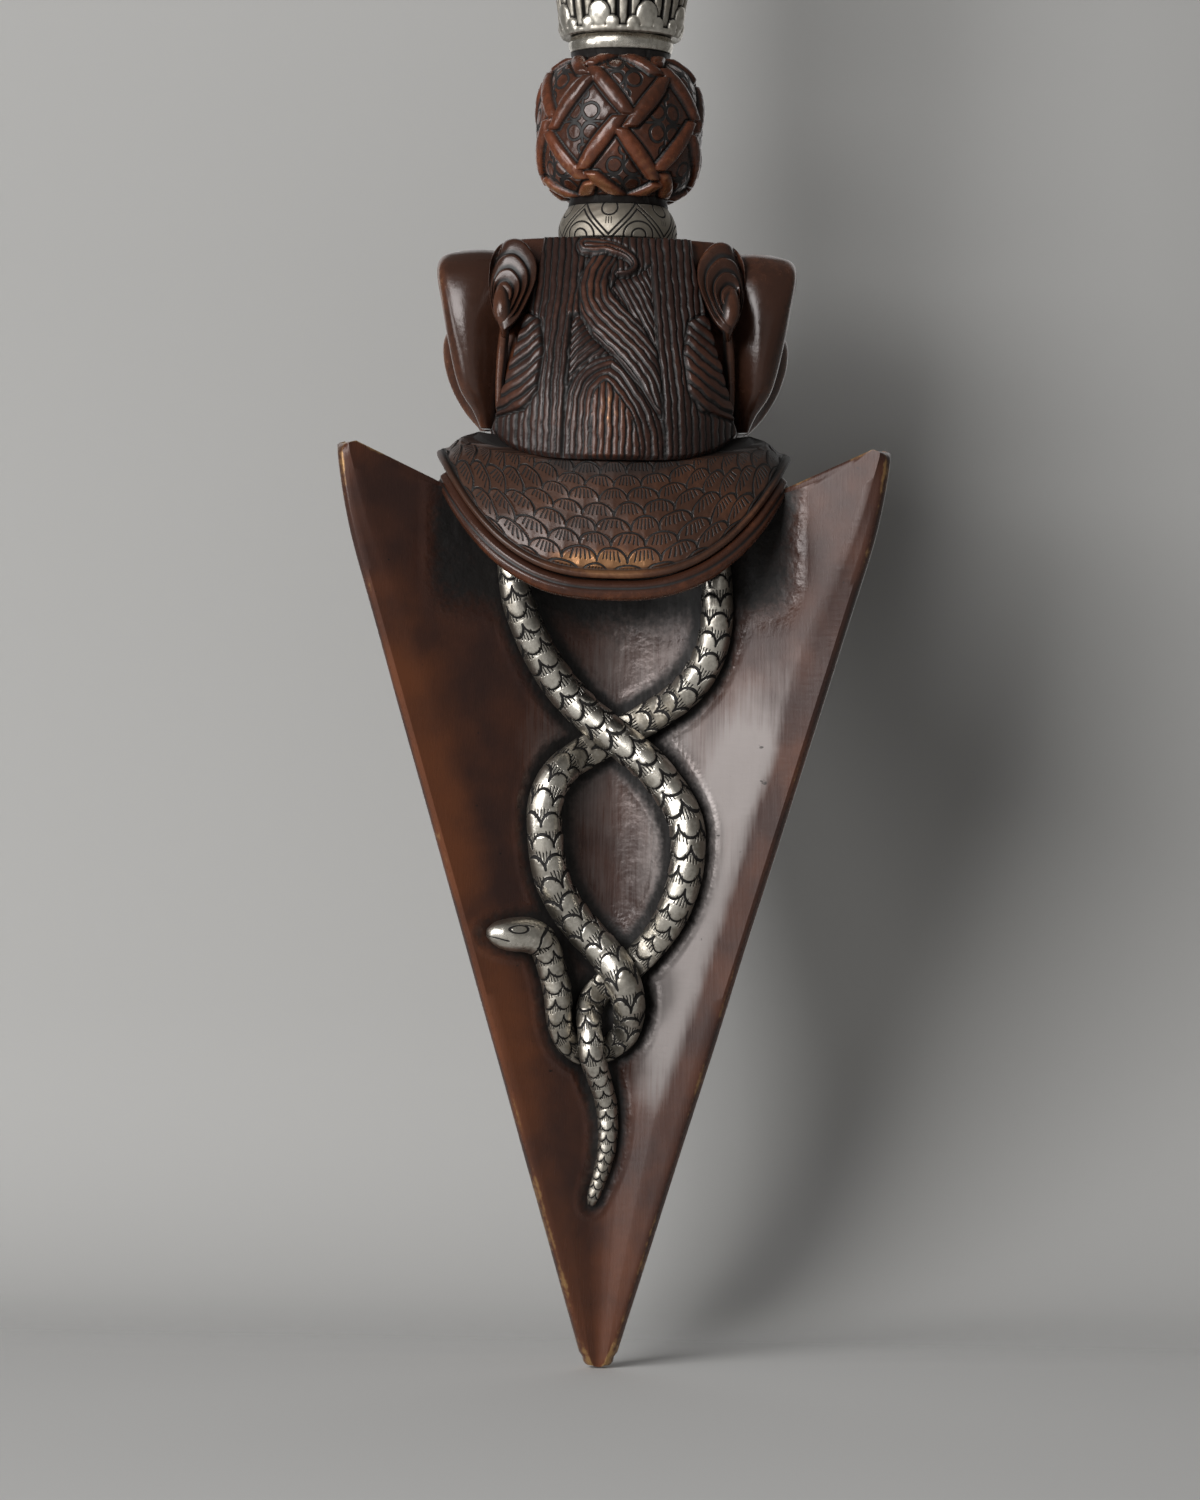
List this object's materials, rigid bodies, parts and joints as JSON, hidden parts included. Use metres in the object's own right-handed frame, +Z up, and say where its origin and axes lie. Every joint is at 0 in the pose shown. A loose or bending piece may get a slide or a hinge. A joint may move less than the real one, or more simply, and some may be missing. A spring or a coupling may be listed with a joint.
{
  "type": "ritual dagger",
  "caption": "Three-winged ritual dagger: triangular blade with inlaid serpents, makara head, knotted and lotus handle, half-vajra pommel.",
  "frame": {"origin": "centre of the blunt tip's flat face, on the axis of the tang", "axes": "+Z up the handle, -Y out of the front valley, where the scaled jaw and the mane are, +Y along the back wing, where the snout is"},
  "size_m": [0.0818, 0.0753, 0.3262],
  "materials": {
    "copper": "dark patinated, worn bright on high places",
    "bronze": "dark patinated, brushed hollows and worn golden edges",
    "silver": "bright with black grooves",
    "iron": "forged"
  },
  "bodies": {
    "root": {"blade": "bronze", "tang": "iron", "blade_pin": "iron", "pommel_pin": "iron", "makara_head": "copper", "lower_jaw": "copper", "jaw_lip": "copper", "mane": "copper", "ear_left": "copper", "ear_right": "copper", "horn_left": "copper", "horn_right": "copper", "eye_left": "silver", "eye_right": "silver", "fangs": "silver", "neck_collar": "silver", "lower_knot": "copper", "lower_ring": "silver", "lower_lotus": "silver", "grip_bead": "copper", "upper_lotus": "silver", "upper_ring": "silver", "upper_knot": "copper", "upper_collar": "silver", "pommel_lotus": "silver", "vajra_core": "bronze", "vajra_prongs": "bronze", "descending_serpent_front": "silver", "rising_serpent_front": "silver", "descending_serpent_right": "silver", "rising_serpent_right": "silver", "descending_serpent_left": "silver", "rising_serpent_left": "silver"}
  },
  "joints": []
}
